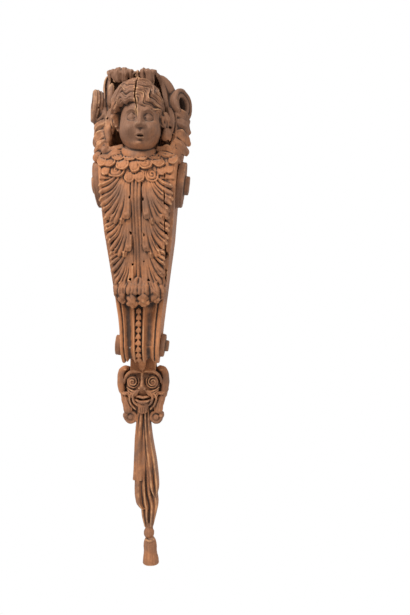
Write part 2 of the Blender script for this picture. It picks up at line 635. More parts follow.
def hair():
    """A cap of combed hair: rings of points from the crown down to the hairline, then in under its edge. A
    strand runs from the parting towards the ear as a meridian about the ear, and swings to and fro on its
    way. The lift is a rounded ridge for each strand, a broader one for each lock, and a slow wave along them.
    Curls lie at the temples."""
    turn = np.linspace(-180, 180, 720, endpoint=False)[None, :]
    t = np.linspace(0.004, 1, 260)[:, None]
    a = np.radians(turn)
    line = np.interp(turn, *np.array(HAIRLINE, float).T) + 1.4 * np.sin(a * 23) + 1.1 * np.sin(a * 9)
    b = np.radians(90 - t * (90 - line))
    way = np.stack([np.sin(a) * np.cos(b), np.cos(a) * np.cos(b), np.sin(b) * np.ones_like(a)], -1)
    lift = np.zeros(way.shape[:2])
    for side in (-1, 1):
        ear = heading(side * EAR[0], EAR[1])
        ahead = unit(np.cross((0.0, 0.0, 1.0), ear))
        above = np.cross(ear, ahead)
        away = np.arccos(np.clip(way @ ear, -1, 1))
        about = np.arctan2(way @ above, way @ ahead)
        swung = about + 0.16 * np.sin(6.5 * away + 2.2 * about) + 0.06 * np.sin(15 * away + 5 * about)
        phase = STRANDS * swung / 2
        lock = phase / LOCK + 0.5 * np.sin(3 * swung)
        height = (2.8 * np.abs(np.cos(phase)) ** 0.8 + 4.0 * np.abs(np.cos(lock)) ** 0.6
                  + 1.2 * np.sin(7 * away + 4 * np.sin(lock)) + 1.0 * np.sin(2.3 * lock))
        lift = np.where((way[..., 0] >= 0) == (side > 0), height * ease(away, 0.1, 0.5), lift)
    lift = lift * ease(t, 0, 0.06) + 3.5 * ease(t, 0.55, 0.93) - 3.0 * ease(t, 0.965, 1.0)
    places = HAIR_MIDDLE + (HAIR_SIZE + lift[..., None]) * way
    under = [HAIR_MIDDLE + (HAIR_SIZE * share - 2) * way[-1] for share in (0.9, 0.7, 0.35)]
    places = np.concatenate([places, np.stack(under)])
    made = [rumpled(tube(place(places[..., 0], places[..., 1], places[..., 2])), 1.0, 12)]
    for turned, risen, wide, winding in TEMPLE_CURLS:
        way = heading(turned, risen)
        aside = unit(np.cross(way, (0, 0, 1)))
        above = np.cross(aside, way)
        s = np.linspace(0, 1, 26)[:, None]
        spin = winding * s * 2 * math.pi * 1.4
        round_way = np.cos(spin) * aside + np.sin(spin) * above
        spots = on_cap(way, 2.0) + wide * (1 - 0.72 * s) * round_way + way * (2.2 * s)
        rows = np.hstack([spots, 1.5 - 0.3 * s, 2.6 + 0 * s])
        made.append(carried(rows, oval, from_cap, steps=90, around=14, ends=(0.1, 0.06)))
    return made


# The hood, its crest, the volutes and the leaves that hang from them

# Each arch is at a depth, and runs from the left foot over the top to the right foot, as (across, height).
# The feet go a little way into the console.
ARCHES = [
    (104, [(-58, 50), (-59, 137), (-61, 160), (-62, 184), (-60, 200), (-52, TOP), (36, TOP), (41, 205),
           (49, 185), (54, 160), (58, 137), (58, 50)]),
    (62, [(-70, 50), (-72, 137), (-74, 160), (-76, 184), (-75, 203), (-68, TOP), (50, TOP), (58, 206),
          (68, 188), (72, 160), (72, 137), (70, 50)]),
    (0, [(-76, 50), (-82, 137), (-82, 160), (-82, 184), (-80, 200), (-68, TOP), (60, TOP), (72, 207),
         (80, 188), (82, 160), (82, 137), (76, 50)]),
]


def arch(depth, line, share=1.0, sink=1.0):
    """One arch as a closed ring of points with eased corners. share draws it in towards the middle, and sink
    lowers it towards its feet."""
    x, z = np.array(line, float).T
    x, z = x * share, CONSOLE_TOP + (z - CONSOLE_TOP) * sink
    run = np.concatenate([[0], np.cumsum(np.hypot(np.diff(x), np.diff(z)))])
    even = np.linspace(0, run[-1], 150)
    window = np.ones(9) / 9
    x, z = (np.pad(np.interp(even, run, values), 4, "edge") for values in (x, z))
    return place(np.convolve(x, window, "valid"), depth, np.convolve(z, window, "valid"))


def hood():
    """An arched shell from the wall, open in front and flat on top: rings of the three arches, blended."""
    rings = np.array([arch(depth, line) for depth, line in ARCHES])
    t = np.linspace(0, 2, 30)
    i = np.minimum(t.astype(int), 1)
    f = (t - i)[:, None, None]
    return [tube(rings[i] * (1 - f) + rings[i + 1] * f)]


def hood_hollow():
    """The hollow inside the hood, narrower as it goes in."""
    line = [(x, max(z, CONSOLE_TOP)) for x, z in ARCHES[0][1]]
    rings = [arch(118, line, 0.89, 0.955), arch(84, line, 0.85, 0.93), arch(48, line, 0.6, 0.8)]
    return [tube(np.array(rings))]


# The lobes of the crest's leaf tips: place across, half width, lowest height, how far forward, and strands.
CREST_LOBES = [
    (-54, 5.5, 196, 118, 2), (-46, 6.5, 191, 123, 3), (-36, 7, 189, 127, 2), (-26, 6.5, 190, 126, 3),
    (-17, 5.5, 193, 123, 2), (3, 4, 194, 121, 2), (9.5, 4.5, 189, 125, 2), (18, 6, 185, 128, 1),
    (27, 6.5, 187, 124, 1),
]
# The crest's rolls, bud, right slope and left jamb as paths, and its left rib as (across, height).
CREST_ROLLS = [
    [(-60, 96, 204, 7, 8), (-36, 108, 205, 9, 10), (-12, 106, 205, 8, 9)],
    [(0, 106, 205, 8, 9), (18, 110, 205, 9, 10), (36, 98, 203, 7, 8)],
]
CREST_BUD = [(-6, 90, TOP - 9, 5, 5), (-6, 112, TOP - 10, 5, 5), (-5, 118, TOP - 18, 3.6, 4)]
RIGHT_SLOPE = [(30, 92, 205, 7, 7), (44, 94, 199, 9, 8), (56, 92, 186, 10, 8), (64, 88, 170, 9, 8)]
LEFT_JAMB = [(-48, 98, 196, 10, 14), (-51, 104, 174, 10, 18), (-52, 104, 140, 10, 18)]
LEFT_RIB = [(-52, 206), (-57, 190), (-58, 168), (-55, 146)]


def crest():
    """Two leaf tips that curl forward from the crest over the head, a roll behind them and a bud between:
    each lobe runs forward along the top, turns down and curls back in. A smooth slope runs down on the right
    to the volute, and two ribs with dark grooves between them on the left."""
    made = [carried(rows, out=(0, -1, 0.4), steps=30) for rows in CREST_ROLLS]
    made.append(carried(CREST_BUD, strands(2, 0.3), steps=24))
    made += [ball((-1, 92, TOP - 14), (14, 20, 14)), ball((-40, 98, 188), (14, 20, 17))]
    for number, (across, wide, low, ahead, count) in enumerate(CREST_LOBES):
        lean = 2.5 * math.sin(2.1 * number)
        rows = [(across, 84, TOP - 6, wide * 0.7, 5), (across - lean, ahead - 12, TOP - 4.5, wide, 6),
                (across, ahead - 2, TOP - 9, wide * 1.15, 6.5),
                (across + lean, ahead, (TOP + low) / 2, wide * 1.1, 6.5),
                (across + lean, ahead - 5, low, wide * 0.8, 5), (across, ahead - 13, low + 2, wide * 0.5, 3)]
        lobe = carried(rows, strands(count, 0.3), (0, -1, 0.6), 60, 34, (0.05, 0.08))
        made.append(rumpled(lobe, 2.0, 11, number))
    made += [carried(RIGHT_SLOPE, out=(0.5, -1, 0.5), steps=40), carried(LEFT_JAMB, steps=24)]
    for reach, ahead in ((0, 108), (9, 99)):
        rows = [(x - reach, ahead, z, 2.6, 5) for x, z in LEFT_RIB]
        made.append(rumpled(carried(rows, steps=40, around=18), 1.0, 12))
    return made


VOLUTES = [
    {"side": -1, "facing": 0.25, "start": (-90, 82, 153)},
    {"side": 1, "facing": 0.5, "start": (83, 84, 155)},
]
# The horn and its mouth, as profiles of (radius, distance along the axis).
HORN = [
    (0.1, -58), (12, -58), (17, -54), (20, -42), (26, -20), (29, -10), (31, -5), (31.6, -1), (30.8, 2.8),
    (28.6, 4.8), (26, 4.8), (24.6, 3), (23.6, 0.6), (22.2, 0.6), (21, 2.4), (19, 3), (16.5, 1.4), (0.1, 1),
]
MOUTH = [(0.1, 12), (17, 12), (15, 1), (13.6, -6), (12, -26), (8, -44), (0.1, -46)]


def volute_axis(volute):
    """The direction that a volute's axis points in: outwards, forwards and a little up."""
    return volute["side"] * 0.9, volute["facing"], 0.06


def volutes():
    """A rolled horn on each side: a profile spun about an axis that points outwards, with a rim and a deep
    mouth. The left one is pleated round its side."""
    made = []
    even = np.arange(0, len(HORN) - 1, 0.1)
    profile = np.stack([np.interp(even, np.arange(len(HORN)), line) for line in np.array(HORN).T], -1)

    def pleats(angle, reach):
        return 1 + 0.03 * np.cos(1.1 * reach + np.cos(2 * angle)) * (reach < 0)
    for volute in VOLUTES:
        relief = pleats if volute["side"] < 0 else None
        shell = spun(profile, volute["start"], volute_axis(volute), 96, relief)
        made.append(rumpled(shell, 1.2, 16, volute["side"]))
    return made


def volute_mouths():
    """The deep mouth of each volute: a profile spun about the same axis."""
    return [spun(MOUTH, volute["start"], volute_axis(volute), 48) for volute in VOLUTES]


# The leaf that hangs from each volute, for the right side: its midrib as (across, depth, height), and its
# lobes by the height of the tip, how far across it reaches, how far in front of the wall, and the half width.
MIDRIB = [(62, 84, 150), (65, 98, 130), (66, 104, 106), (65, 110, 84), (61, 120, 62), (56, 124, 46)]
OUTER_LOBES = [(126, 86, 84, 12.5), (103, 88, 90, 12), (82, 88, 95, 12), (62, 84, 103, 11)]
SHOULDER_LOBES = [
    [(30, 122, 60, 6, 6), (46, 125, 58, 8, 7), (62, 122, 55, 9, 7), (76, 108, 50, 7, 6)],
    [(30, 130, 49, 5, 6), (48, 130, 46, 8, 7), (64, 124, 41, 8.5, 7), (76, 110, 36, 6, 6)],
]
LAPPET = [(50, 98, 146, 5, 6), (56, 112, 128, 8, 8), (57, 118, 106, 8.5, 9), (53, 116, 84, 6, 7)]
LEAF_BODY = [(66, 60, 152, 15, 32), (69, 60, 100, 17, 34), (66, 60, 40, 12, 36)]
LEAF_SHIFT = 3
# The bunches of hair beside the two cheeks, which are ridged, and the buds, the roll and the knobs about
# them: place, half sizes, whether it is ridged, its grid's rows and columns, and how it is rumpled.
BUNCHES = [
    ((47, 130, 112), (12.5, 15, 16), True, 44, 90, (2.2, 7)),
    ((53, 124, 86), (11, 12, 14), False, 30, 44, (2.4, 9)),
    ((-56, 114, 88), (8.5, 13, 22), False, 36, 44, (1.6, 10)),
    ((-46, 120, 112), (9.5, 12, 15), True, 44, 90, (1.8, 8)),
    ((-76, 110, 46), (11, 12, 11), False, 24, 36, (2.2, 9)),
    ((-62, 122, 56), (9, 10, 9), False, 24, 36, (2.2, 9, 3)),
]


def hanging_leaves():
    """On each side a leaf hangs from the volute to the shoulder: a thick body, a midrib, lobes that reach
    outwards and curl over at their tips, a lappet beside the head, and broad lobes over the shoulder. Bunches
    of hair, ridged by a wave round them, lie between the leaves and the cheeks."""
    made = []
    for side in (-1, 1):
        def turned_out(rows, side=side):
            return [(side * row[0] + LEAF_SHIFT, *row[1:]) for row in rows]
        out = (0.35 * side, -1, 0.15)
        made.append(carried(turned_out(LEAF_BODY), steps=20, around=34, ends=(0.1, 0.1)))
        midrib = carried(turned_out([(*row, 6, 8) for row in MIDRIB]), strands(2, 0.35), out, 60, 30)
        made.append(rumpled(midrib, 1.4, 11))
        for number, (height, reach, depth, wide) in enumerate(OUTER_LOBES):
            rows = [(62, depth + 14, height + 12, wide * 0.6, 7), (72, depth + 12, height + 8, wide, 9),
                    (reach - 5, depth + 4, height + 3, wide * 1.05, 9),
                    (reach + 1, depth - 7, height - 3, wide * 0.75, 7),
                    (reach - 1, depth - 13, height - 6, wide * 0.4, 4)]
            section = strands(2, 0.35) if number % 2 else gutter
            shell = carried(turned_out(rows), section, out, 48, 38, (0.08, 0.1))
            made.append(rumpled(shell, 3.0, 13, side + number))
        for number, rows in enumerate(SHOULDER_LOBES):
            shell = carried(turned_out(rows), gutter, (0.3 * side, -1, 0.4), 48, 38, (0.08, 0.1))
            made.append(rumpled(shell, 3.0, 12, number + side))
        lappet = carried(turned_out(LAPPET), strands(2, 0.4), steps=34, around=30)
        made.append(rumpled(lappet, 1.2, 10))

    def locks(turn, rise):
        return 0.1 * np.cos(9 * turn + 4 * rise) * np.cos(rise)
    for centre, radii, ridged, down, around, rumple in BUNCHES:
        made.append(rumpled(ball(centre, radii, locks if ridged else None, down, around), *rumple))
    return made


# The mask

# The outline of its board down the right side: across, height.
MASK_OUTLINE = [
    (26, -364), (33, -361), (44, -363), (51, -378), (53, -394), (47, -423), (32.5, -440), (32, -450),
    (41, -458), (39, -470), (22, -478), (14, -474),
]
# Its parts, for the right side or the middle, as paths.
MASK_STRAP = [
    (27, 20, -364, 5, 6), (40, 26, -366, 7, 8), (45.5, 28, -378, 7.5, 8), (46, 29, -392, 7.5, 8),
    (44, 28, -404, 7, 8), (40, 24, -413, 5, 6),
]
MASK_HOOK = [(48, 20, -402, 4, 6), (47, 26, -409, 4, 6), (38, 30, -415, 4, 6), (30, 34, -412, 3, 5)]
JAW_STRAP = [(43, 20, -413, 5, 7), (37, 26, -427, 8, 8), (32, 28, -440, 9, 8), (30, 28, -456, 10, 8)]
MASK_BROW = [
    (2.5, 46, -371, 2.2, 4), (10, 48, -367.5, 3.2, 5), (22, 45, -369, 3.4, 5), (34, 36, -380, 3, 4),
    (38, 30, -396, 2, 3),
]
SMILE_FOLDS = [
    [(9, 47, -405, 1.6, 4), (19, 43, -416, 2.4, 5), (18, 39, -430, 2.6, 5), (8, 37, -441, 2, 4)],
    [(20, 43, -411, 1.4, 4), (27, 37, -422, 2.2, 5), (24, 34, -436, 2.4, 5), (13, 32, -449, 2, 4)],
]
BROW_LEAF = [(0, 60, -336, 9, 8), (0, 47, -354, 8, 7), (0, 50, -366, 5, 4)]
MASK_NOSE = [(0, 43, -366, 2.4, 6), (0, 48, -382, 2.8, 7), (0, 52, -394, 3.8, 8), (0, 54, -403, 4.8, 6)]
MASK_BEARD = [(0, 34, -436, 11, 5), (0, 36, -444, 10, 6), (0, 33, -456, 9, 6)]
MASK_LIPS = [
    [(-15, 36, -421, 1.6, 3), (-7, 43, -420, 2.6, 4.4), (0, 45, -421, 2.8, 4.6)],
    [(-17, 35, -425, 1.6, 3), (-9, 42, -429, 2.6, 4.6), (0, 44, -430.5, 3, 4.8)],
]
# The turned foot of the board on each side, as a profile of (radius, distance in front of the wall).
MASK_FOOT = [
    (0.1, -4), (13.6, -4), (14.2, 24), (13.2, 28), (9.5, 29), (8.6, 27.2), (5.5, 27.4), (4.6, 29.8),
    (0.1, 30.4),
]


def mask():
    """A grotesque mask on a scrolled board: spiral eyes under rolled brows, a long nose, folds that sweep
    from the nose across the cheeks, thick lips, a beard that meets in the cloth, broad straps down both
    sides, and feet."""
    x, z = np.array(MASK_OUTLINE + mirrored(MASK_OUTLINE)[::-1], float).T
    middle = -418
    board = [place(x * share, depth, middle + (z - middle) * share)
             for depth, share in [(INTO_WALL, 1), (14, 1), (21, 0.975), (24, 0.93)]]
    corners = np.array([(-26, INTO_WALL), (26, INTO_WALL), (26, 34), (-26, 34)]).T
    neck = [place(*corners, height) for height in (-240, -376)]
    made = [tube(np.array(board)), tube(np.array(neck)), ball((0, 16, -398), (38, 26, 35))]
    made.append(carried(BROW_LEAF, strands(2, 0.2), steps=20))
    for side in (-1, 1):
        out = functools.partial(on_side, side)
        t = np.linspace(0, 1, 46)
        reach, spin = 14.0 - 11.5 * t, 2.5 + 2 * math.pi * 2.1 * t
        across = side * (20 + 0.95 * reach * np.cos(spin))
        depth = 37.5 + 6 * t - 0.25 * reach * np.cos(spin)
        swirl = np.stack([across, depth, -390 + reach * np.sin(spin), 1.75 - 0.3 * t, 3.2 + 0 * t], -1)
        made += [
            carried(out(MASK_STRAP), strands(1, 0.15), steps=50, around=40, ends=(0.1, 0.08)),
            ball((side * 36, 26, -366), (5.5, 9, 4.5)),
            carried(out(MASK_HOOK), strands(2, 0.35), steps=36, around=24),
            carried(out(JAW_STRAP), strands(3, 0.25), steps=34, around=44),
            spun(MASK_FOOT, (side * 26, 0, -464), (0, 1, 0), 48),
            ball((side * 36, 17, -461), (6.5, 15, 7)),
            ball((side * 20, 33, -390), (12, 9, 13)),
            carried(swirl, steps=220, around=14, ends=(0.03, 0.03)),
            carried(out(MASK_BROW), strands(2, 0.4), steps=44, around=28),
            ball((side * 4.2, 51, -402), (3.6, 5, 3.6)),
            *(carried(out(rows), steps=40, around=16) for rows in SMILE_FOLDS),
        ]
        for fold in range(4):
            rows = [(4 + 1.5 * fold, 50 - 1.6 * fold, -406 - 2.6 * fold, 1.1, 2.4),
                    (13 + 2 * fold, 46 - 1.6 * fold, -408.5 - 3.6 * fold, 1.7, 3.4),
                    (23 + 1.5 * fold, 40 - 1.5 * fold, -407.5 - 4.4 * fold, 1.7, 3.4),
                    (34 - fold, 33, -401 - 4.6 * fold, 1.2, 2.6)]
            made.append(carried(out(rows), steps=40, around=16))
    made.append(carried(MASK_NOSE, steps=30))
    made += [carried(both_halves(rows), steps=34) for rows in MASK_LIPS]
    made.append(ball((0, 34, -436), (14, 8, 9)))
    made.append(carried(MASK_BEARD, strands(5, 0.6), steps=24, around=60))
    return made[:2] + [rumpled(shell, 0.8, 8) for shell in made[2:]]


def mask_hollows():
    """The line between the mask's lips, the shadow under them, and the dark cleft over its brow."""
    return [ball((0, 50, -425.5), (13, 10, 1.5)), ball((0, 46, -436.5), (9, 7, 1.2)),
            ball((0, 62, -369), (9, 13, 4))]


# The cloth and its tassel

# The cloth's edges down its height: height, left edge, right edge, depth.
CLOTH_TAIL = [
    (-440, -10, 12, 28), (-530, -13, 18, 27), (-580, -14, 26, 26), (-620, -12, 28, 25), (-645, -6, 29.5, 24),
    (-668, -4.5, 25, 22), (-691, 0.5, 19.5, 20),
]
HEMS = [
    ([(-500, -14, 2, 28), (-600, -18.5, 4, 30), (-636, -16.5, 7, 29), (-648, -11, 9, 28), (-653, -6, 8, 27)],
     3.2),
    ([(-438, -11, 3, 25), (-500, -17.3, 4, 34), (-560, -20, 6, 33), (-592.5, -22, 4, 32)], 2.4),
    ([(-438, 2, 11, 25), (-500, 4, 17, 34), (-560, 8, 27, 33), (-606, 12, 31, 31), (-626, 20, 28, 28)], 2.6),
]


def cloth_layer(rows, folds, deep, seed):
    """A layer of cloth: a grid whose rows run between the two edges and whose front stands out in upright
    folds, each a rounded wave that shifts a little sideways down the cloth."""
    r = smooth_rows(rows, 130)
    share = np.linspace(0, 1, 90)
    random = np.random.default_rng(seed)
    down = np.linspace(0, 1, len(r))[:, None]
    phase = random.uniform(0, 2 * math.pi) + 0.5 * np.sin(3 * down + random.uniform(0, 6))
    wave = np.sin(2 * math.pi * folds * (share + 0.05 * np.sin(4 * down)) + phase)
    lift = deep * (np.abs(wave) ** 0.75 * np.sign(wave)) + 0.9 * np.sin(13 * share + 5 * down)
    rounding = np.sqrt(np.clip(1 - np.abs(2 * share - 1) ** 6, 0, 1))
    depth = r[:, 3:4] * (0.66 + 0.34 * rounding) + lift * rounding
    x = r[:, 1:2] + (r[:, 2:3] - r[:, 1:2]) * share
    return slab(place(x, depth, r[:, 0:1]), place(x, INTO_WALL, r[:, 0:1]))


def cloth():
    """The cloth that hangs from the mask's mouth: a tail with three hems over it."""
    made = [cloth_layer(CLOTH_TAIL, 3.3, 3.0, 3)]
    made += [cloth_layer(rows, 1.6, deep, 7 + number) for number, (rows, deep) in enumerate(HEMS)]
    return made


# The tassel's band and stem as paths, and its skirt down its height: height, middle, radius.
BAND_ROWS = [(2, 20, -716, 2, 3), (12.5, 27, -717.5, 2.4, 3), (23, 20, -716, 2, 3)]
STEM_ROWS = [(10, 12, -680, 9, 9), (11, 13, -700, 8, 8), (12, 13, -720, 8, 8)]
SKIRT = [
    (-713, 12.5, 9), (-720, 12.6, 13), (-730, 12.9, 15), (-742, 13.4, 14.6), (-756, 14.2, 17),
    (-767, 14.6, 18),
]


def tassel():
    """A round knot over a skirt of threads: the skirt's radius waves round it, once for each thread."""
    r = smooth_rows(SKIRT, 60)
    angle = np.linspace(0, 2 * math.pi, 160, endpoint=False)
    threads = 1 - 0.07 * np.abs(np.sin(9 * angle + 0.02 * r[:, 0:1])) ** 0.6 * ease(-r[:, 0:1], 716, 728)
    reach = (r[:, 2:3] - 0.6) * threads
    skirt = tube(place(r[:, 1:2] + reach * np.cos(angle), 14 + reach * np.sin(angle), r[:, 0:1]))
    knot = ball((10.5, 14, -704), (11, 11.5, 12), lambda turn, rise: 0.03 * np.cos(10 * turn + 6 * rise))
    return [skirt, knot, carried(BAND_ROWS, out=(0, -0.3, 1), steps=20, around=12),
            carried(STEM_ROWS, steps=14)]


# Cuts in the whole carving

# The crack's line down the head: across, height, half width.
SPLIT = [(2, 236, 1.5), (2, 200, 1.4), (0.5, 165, 1.6), (0, 145, 1.3), (2.5, 118, 0.8), (3, 98, 0.3)]


# The depths that it reaches between, and the share of its width at each.
SPLIT_REACH = [(200, 1), (100, 0.6)]


def split():
    """The crack from the crest to the brow: a thin wedge that follows a crooked line downwards."""
    x, z, half = smooth_rows(SPLIT, 60).T
    x = x + 0.5 * np.sin(z * 0.21) + 0.35 * np.sin(z * 0.53)
    near, far = [np.stack([place(x - half * share, depth, z), place(x + half * share, depth, z)], 1)
                 for depth, share in SPLIT_REACH]
    return [slab(near, far)]


# Drilled eyes between the lobes and hollows in the leaf: across, height, half width, half height, how deep.
EYES = [
    (-14.5, -37, 1.5, 4.5, 15), (11.5, -39, 1.5, 3.6, 15), (-13.6, -101, 1.5, 4.5, 14),
    (10.8, -104, 1.4, 4, 14), (-12.8, -160, 1.4, 4.5, 13), (10, -155, 1.4, 4, 13), (-16, -187, 3.6, 2.8, 15),
    (18, -188, 3.8, 2.6, 15), (-31, -199, 2.6, 1.8, 12),
]


def eyes():
    """The drilled eyes: small deep ovals at the stalk's sides."""
    return [rumpled(ball((x, front_depth(z) + 6, z), (wide, deep, tall), down=14, around=18), 2.2, 4, number)
            for number, (x, z, wide, tall, deep) in enumerate(EYES)]


# Drill holes and dark gaps in the crest, the volutes and beside the cheeks: across, depth, height, radius.
HOLES = [
    (-9, 122, 203, 2.6), (-78, 112, 142, 2.2), (-58, 122, 118, 2.6), (60, 124, 100, 3.0),
    (48, 130, 124, 2.6), (56, 124, 72, 3.0), (-48, 118, 66, 4), (-69, 122, 50, 2.4),
]


def drilled():
    """The drill holes: deep round balls with a wandering skin."""
    return [rumpled(ball((x, d, z), (r, 9, r), down=12, around=16), 1.4, 4, r) for x, d, z, r in HOLES]


# The open glue line: the heights it runs between, and the chips along it (across, height, half width, half
# height).
OPEN_SEAM = (8, -202)
CHIPS = [
    (53.5, -101, 3, 2.6), (54, -140, 2, 8), (52.5, -168, 3.2, 2.6), (50, -183, 2.2, 4), (50.5, -196, 3.6, 6),
]


def open_seam():
    """The right glue line where it stands open: a thin slot that wavers, with chips broken out along it."""
    z = np.linspace(*OPEN_SEAM, 90)
    half = 0.55 + 0.3 * np.sin(z * 0.13)
    x = CORE_HALF + 0.4 * np.sin(z * 0.31)
    front, back = front_depth(z) + 25, front_depth(z) - 9
    made = [slab(np.stack([place(x - half, front, z), place(x + half, front, z)], 1),
                 np.stack([place(x - half, back, z), place(x + half, back, z)], 1))]
    for number, (across, height, wide, tall) in enumerate(CHIPS):
        chip = ball((across, front_depth(height) + 5, height), (wide, 9, tall), down=16, around=22)
        made.append(rumpled(chip, 1.8, 5, number))
    return made


# Welding the shells into carved boards

FORMS = [
    console, husks, acanthus, stalk, leaf_tip, collar, face, hair, hood, crest, volutes, hanging_leaves,
    mask, cloth, tassel,
]
CUTS = [split, open_seam, volute_mouths, eyes, drilled, hood_hollow, face_hollows, mask_hollows]
# The grid's margin round a piece, how far a piece runs on past its own box and how deep it sinks there, in
# millimetres, and how flat a stretch of the skin is before its faces are joined.
MARGIN = 12.0
OVERLAP = 1.2
SUNK = 0.35
THIN = 0.02
# How many cells of distance are kept on either side of a skin.
BAND = 4
# Half sizes of the cubes in which the share of wood about a place is measured, in millimetres, and the step
# in cells over which the field's slope is read.
ABOUT = (1.6, 4.5, 11.0)
SLOPE_STEP = 0.7


@functools.cache
def shells_of(form):
    """The closed skins that a form is made of, worked out once."""
    return form()


# How far out a roundel's seat clears the wood.
SEAT_REACH = 60


def scroll_seat(disc):
    """The flat seat of a roundel, cut from the side board down to the board's face."""
    side, scroll = disc["side"], disc["scroll"]
    start = (side * float(half_width(scroll["height"])), scroll["depth"], scroll["height"])
    reach = disc["radius"] + SEAM
    profile = [(0.1, 0), (reach, 0), (reach, SEAT_REACH), (0.1, SEAT_REACH)]
    return spun(profile, start, (side, 0, -disc["lean"]), 96)


def field_of(shells, voxel, low, shape):
    """Signed distances to the welded shells on a grid: less than nothing inside. Only shells that reach the
    grid count. Every shell is closed, so overlapping ones weld into one."""
    high = low + np.array(shape) * voxel
    near = [s for s in shells if np.all(s[0].max(0) > low) and np.all(s[0].min(0) < high)]
    field = np.full(shape, BAND * voxel, np.float32)
    if not near:
        return field
    starts = np.cumsum([0] + [len(s[0]) for s in near[:-1]])
    points = np.concatenate([s[0] for s in near]).astype(np.float32)
    faces = np.concatenate([s[1] + start for s, start in zip(near, starts)]).astype(np.uint32)
    spread = vdb.createLinearTransform(voxelSize=voxel)
    grid = vdb.FloatGrid.createLevelSetFromPolygons(points, triangles=faces, transform=spread, halfWidth=BAND)
    grid.copyToArray(field, ijk=tuple(int(v) for v in np.round(low / voxel)))
    return field


def blurred(field, radius):
    """A field averaged over a cube of the given half size in cells, by running sums along each axis."""
    for axis in range(3):
        padded = np.pad(field, [(radius + 1, radius) if a == axis else (0, 0) for a in range(3)], "edge")
        sums = np.cumsum(padded, axis=axis, dtype=np.float64)
        width = 2 * radius + 1
        after = np.take(sums, np.arange(width, sums.shape[axis]), axis=axis)
        before = np.take(sums, np.arange(0, sums.shape[axis] - width), axis=axis)
        field = ((after - before) / width).astype(np.float32)
    return field


def softened(field):
    """A field with its creases eased: each cell is half itself and half its neighbours, along each axis."""
    for axis in range(3):
        ahead, behind = np.roll(field, 1, axis), np.roll(field, -1, axis)
        field = 0.5 * field + 0.25 * (ahead + behind)
    return field


def read_field(field, places):
    """A field's values at places given in cells, by straight blending between the eight cells around each."""
    places = np.clip(places, 0, np.array(field.shape) - 1.001)
    cell = places.astype(int)
    f = places - cell
    value = np.zeros(len(places))
    for corner in np.ndindex(2, 2, 2):
        weight = np.prod(np.where(corner, f, 1 - f), axis=1)
        value += weight * field[tuple((cell + corner).T)]
    return value


# The cells along each side of the block of random values that noise() repeats, and the block.
LATTICE = 48
NOISE = np.random.default_rng(29).uniform(-1, 1, (LATTICE, LATTICE, LATTICE))


def noise(points, pitch, shift=0.0):
    """Smooth noise from -1 to 1: random values on a lattice of the given pitch, eased between its corners."""
    scaled = points / np.asarray(pitch, float) + shift
    cell = np.floor(scaled).astype(int)
    f = scaled - cell
    f = f * f * (3 - 2 * f)
    value = np.zeros(len(points))
    for corner in np.ndindex(2, 2, 2):
        weight = np.prod(np.where(corner, f, 1 - f), axis=1)
        value += weight * NOISE[tuple(((cell + corner) % LATTICE).T)]
    return value


def carve(piece):
    """One piece of the carving: its shells are welded on a grid, the cuts are taken out, what lies past the
    wall's plane or over the top is cut off, and the part inside the piece's own box is kept, with a little
    more on every side that sinks under its neighbours. Gives the skin's points in millimetres, their
    directions outwards, its faces, and how hollow each place is: the share of wood in a cube about it, for
    three sizes of cube, which is a half on a flat face."""
    voxel = piece["voxel"]
    low_cell = np.floor((np.array(piece["low"]) - MARGIN) / voxel)
    shape = tuple(int(v) for v in np.ceil((np.array(piece["high"]) + MARGIN) / voxel) - low_cell)
    low = low_cell * voxel
    body = field_of(piece["shells"], voxel, low, shape)
    body = np.maximum(body, -field_of(piece["cuts"], voxel, low, shape))
    x, y, z = (low[a] + voxel * np.arange(shape[a]) for a in range(3))
    body = np.maximum(body, np.maximum(y[None, :, None], z[None, None, :] - TOP))
    body = softened(body)
    inside = np.clip(0.5 - body / (2 * voxel), 0, 1)
    kept = body
    for axis, spots in enumerate((x, y, z)):
        view = [None, None, None]
        view[axis] = slice(None)
        past = np.maximum(piece["low"][axis] - spots, spots - piece["high"][axis])[tuple(view)]
        sunk = kept + SUNK * np.clip(past / OVERLAP, 0, 1)
        kept = np.maximum(sunk, past - OVERLAP)
    kept[0], kept[-1], kept[:, 0], kept[:, -1], kept[:, :, 0], kept[:, :, -1] = (BAND * voxel,) * 6
    grid = vdb.FloatGrid(BAND * voxel)
    grid.copyFromArray(np.ascontiguousarray(kept))
    points, triangles, quads = grid.convertToPolygons(0.0, THIN)
    places = np.asarray(points, float)
    steps = np.eye(3) * SLOPE_STEP
    slopes = [read_field(body, places + step) - read_field(body, places - step) for step in steps]
    faces = np.concatenate([triangles, quads[:, [0, 1, 2]], quads[:, [0, 2, 3]]])
    wood = [read_field(blurred(inside, max(1, round(reach / voxel))), places) for reach in ABOUT]
    return low + places * voxel, unit(np.stack(slopes, -1)), faces, wood


# How far apart the gouge's dents and the grain's ridges are, across, in depth and up, in millimetres.
BROAD_DENTS = (5.5, 5.5, 8.0)
SMALL_DENTS = (2.6, 2.6, 4.0)
BROAD_GRAIN = (1.5, 2.6, 34.0)
FINE_GRAIN = (0.9, 1.6, 18.0)


def worked(points, normal, marks, grain):
    """Tool marks and grain: shallow dents from the gouge, and fine ridges that run with the upright grain.
    Both fade out on the flat back, and the marks are finer on the child's face."""
    gouge = -np.abs(noise(points, BROAD_DENTS)) + 0.55 * noise(points, SMALL_DENTS, 7)
    ridges = noise(points, BROAD_GRAIN, 3) + 0.6 * noise(points, FINE_GRAIN, 11)
    x, depth, z = points[:, 0], -points[:, 1], points[:, 2]
    skin = bell(x, HEAD["across"], 34) * bell(z, HEAD["height"], 40) * ease(depth, 120, 150)
    clear = ease(depth, 0.4, 3.0) * (1 - 0.6 * skin)
    return points + normal * ((marks * gouge + grain * ridges) * clear)[:, None]


